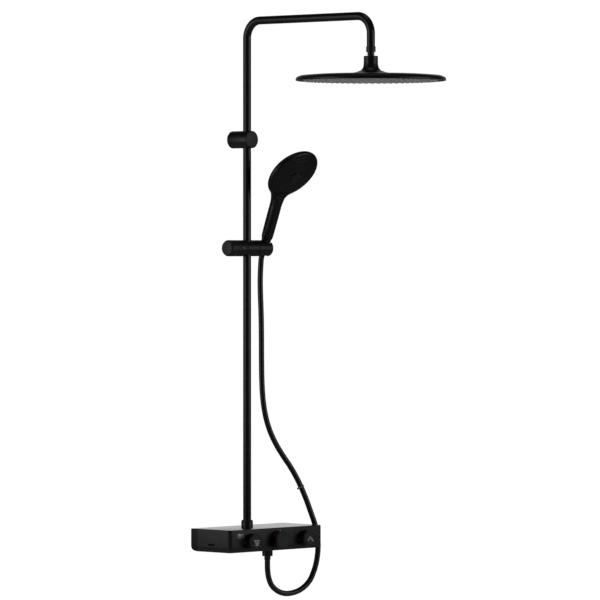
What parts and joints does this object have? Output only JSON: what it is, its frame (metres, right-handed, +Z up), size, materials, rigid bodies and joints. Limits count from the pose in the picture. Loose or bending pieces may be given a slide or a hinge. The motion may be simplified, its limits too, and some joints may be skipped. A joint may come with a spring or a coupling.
{
  "type": "rainfall shower column",
  "caption": "Wall-hung rainfall shower column: shelf mixer with front controls, riser, swan-neck arm, tilting rain head, sliding holder, hand shower and hose.",
  "frame": {"origin": "on the finished wall, midway between the two water inlets, at inlet height", "axes": "+X to the user's right, +Y into the wall, +Z up; the front faces -Y"},
  "size_m": [0.3376, 0.599, 1.289],
  "materials": {
    "matte_black_metal": "matte electroplated or powder-coated black, soft highlights",
    "matte_black_plastic": "fine satin black moulded plastic",
    "gloss_black_shelf": "smooth gloss black plate",
    "satin_black_face": "satin black",
    "brass": "turned and cast brass",
    "steel": "plain turned steel",
    "black_rubber": "matte rubber",
    "hose_black": "satin black smooth-jacketed hose",
    "white_acetal": "natural white acetal",
    "grey_tie": "pale translucent nylon",
    "grey_silicone": "soft light-grey silicone",
    "red_button": "dark red moulded plastic"
  },
  "bodies": {
    "root": {"wall_escutcheon_left": "matte_black_metal", "wall_escutcheon_right": "matte_black_metal", "inlet_union_left": "brass", "inlet_union_right": "brass", "filter_washer_left": "black_rubber", "filter_washer_right": "black_rubber", "union_nut_left": "steel", "union_nut_right": "steel", "mixer_shell": "matte_black_plastic", "rear_cover": "matte_black_plastic", "shelf_plate": "gloss_black_shelf", "valve_body": "brass", "thermostat_cartridge": "white_acetal", "flow_cartridge_left": "white_acetal", "flow_cartridge_right": "white_acetal", "riser_seal": "black_rubber", "riser_nut": "matte_black_metal", "riser_tube": "matte_black_metal", "joint_sleeve": "matte_black_plastic", "wall_bracket_body": "matte_black_metal", "bracket_cap": "matte_black_metal", "bracket_wall_stub": "steel", "wall_screw": "steel", "bracket_grub_screw": "steel", "outlet_nipple": "brass", "hose_nut_lower": "matte_black_metal", "hose_ferrule_lower": "matte_black_metal", "hose_lower": "hose_black", "hose_tie": "grey_tie"},
    "left_control": {"volume_ring_left": "matte_black_metal"},
    "left_push": {"push_button_left": "matte_black_plastic"},
    "right_control": {"volume_ring_right": "matte_black_metal"},
    "right_push": {"push_button_right": "matte_black_plastic"},
    "temperature_control": {"temperature_knob": "matte_black_metal", "temperature_knob_cap": "matte_black_metal"},
    "safety_stop": {"safety_button": "red_button"},
    "arm": {"arm_tube": "matte_black_metal", "arm_end_collar": "matte_black_metal", "ball_nipple": "brass"},
    "ball_ring": {"ball_seat": "white_acetal"},
    "rain_head": {"head_hub": "matte_black_metal", "head_shell": "matte_black_plastic", "head_spray_plate": "matte_black_plastic", "head_nozzle_mat": "grey_silicone"},
    "slider": {"slider_body": "matte_black_metal", "slider_liner": "matte_black_plastic", "slider_ring": "matte_black_metal", "hose_middle": "hose_black"},
    "slider_lock": {"lock_knob": "matte_black_metal", "clamp_screw": "steel"},
    "holder": {"cone_holder": "matte_black_metal", "hose_upper": "hose_black"},
    "hose_end": {"hose_cone_nut": "matte_black_metal", "hose_ferrule_upper": "steel"},
    "handset": {"handset_shell": "matte_black_plastic", "handset_face_plate": "satin_black_face", "handset_nozzle_mat": "black_rubber", "spray_diverter": "white_acetal"},
    "handset_button": {"spray_button": "matte_black_plastic"}
  },
  "joints": [
    {"name": "left_volume_turn", "type": "hinge", "parent": "root", "child": "left_control", "pos_m": [-0.085, -0.145, -0.001], "axis": [0, 1, 0], "range_deg": [-60, 60]},
    {"name": "left_push_press", "type": "slide", "parent": "left_control", "child": "left_push", "axis": [0, 1, 0], "range_m": [0, 0.004], "stiffness_N_per_m": 700, "springref_m": -0.002},
    {"name": "right_volume_turn", "type": "hinge", "parent": "root", "child": "right_control", "pos_m": [0.085, -0.145, -0.001], "axis": [0, 1, 0], "range_deg": [-60, 60]},
    {"name": "right_push_press", "type": "slide", "parent": "right_control", "child": "right_push", "axis": [0, 1, 0], "range_m": [0, 0.004], "stiffness_N_per_m": 700, "springref_m": -0.002},
    {"name": "temperature_turn", "type": "hinge", "parent": "root", "child": "temperature_control", "pos_m": [0, -0.145, -0.001], "axis": [0, 1, 0], "range_deg": [-180, 45]},
    {"name": "safety_stop_press", "type": "slide", "parent": "temperature_control", "child": "safety_stop", "axis": [0.7373, 0, -0.6756], "range_m": [0, 0.0025], "stiffness_N_per_m": 700, "springref_m": -0.002},
    {"name": "arm_swivel", "type": "hinge", "parent": "root", "child": "arm", "pos_m": [0, -0.044, 0.884], "axis": [0, 0, 1], "range_deg": [-60, 60]},
    {"name": "head_tilt_fore_aft", "type": "hinge", "parent": "arm", "child": "ball_ring", "pos_m": [0, -0.418, 1.0515], "axis": [1, 0, 0], "range_deg": [-10, 10]},
    {"name": "head_tilt_side", "type": "hinge", "parent": "ball_ring", "child": "rain_head", "pos_m": [0, -0.418, 1.0515], "axis": [0, 1, 0], "range_deg": [-10, 10]},
    {"name": "slider_height", "type": "slide", "parent": "root", "child": "slider", "axis": [0, 0, 1], "range_m": [-0.3, 0.19], "deforming": ["hose_lower", "hose_tie"]},
    {"name": "slider_lock_turn", "type": "hinge", "parent": "slider", "child": "slider_lock", "pos_m": [-0.04, -0.044, 0.643], "axis": [1, 0, 0], "range_deg": [0, 90]},
    {"name": "holder_tilt", "type": "hinge", "parent": "slider", "child": "holder", "pos_m": [0.024, -0.044, 0.643], "axis": [1, 0, 0], "range_deg": [-10, 10], "deforming": ["hose_middle"]},
    {"name": "handset_lift", "type": "slide", "parent": "holder", "child": "hose_end", "axis": [0, -0.353, 0.9356], "range_m": [0, 0.04], "deforming": ["hose_upper"]},
    {"name": "handset_turn", "type": "hinge", "parent": "hose_end", "child": "handset", "pos_m": [0.054, -0.044, 0.643], "axis": [0, -0.353, 0.9356], "range_deg": [-30, 45]},
    {"name": "spray_select_press", "type": "slide", "parent": "handset", "child": "handset_button", "axis": [0, 0.7423, 0.67], "range_m": [0, 0.0025], "stiffness_N_per_m": 700, "springref_m": -0.002}
  ]
}
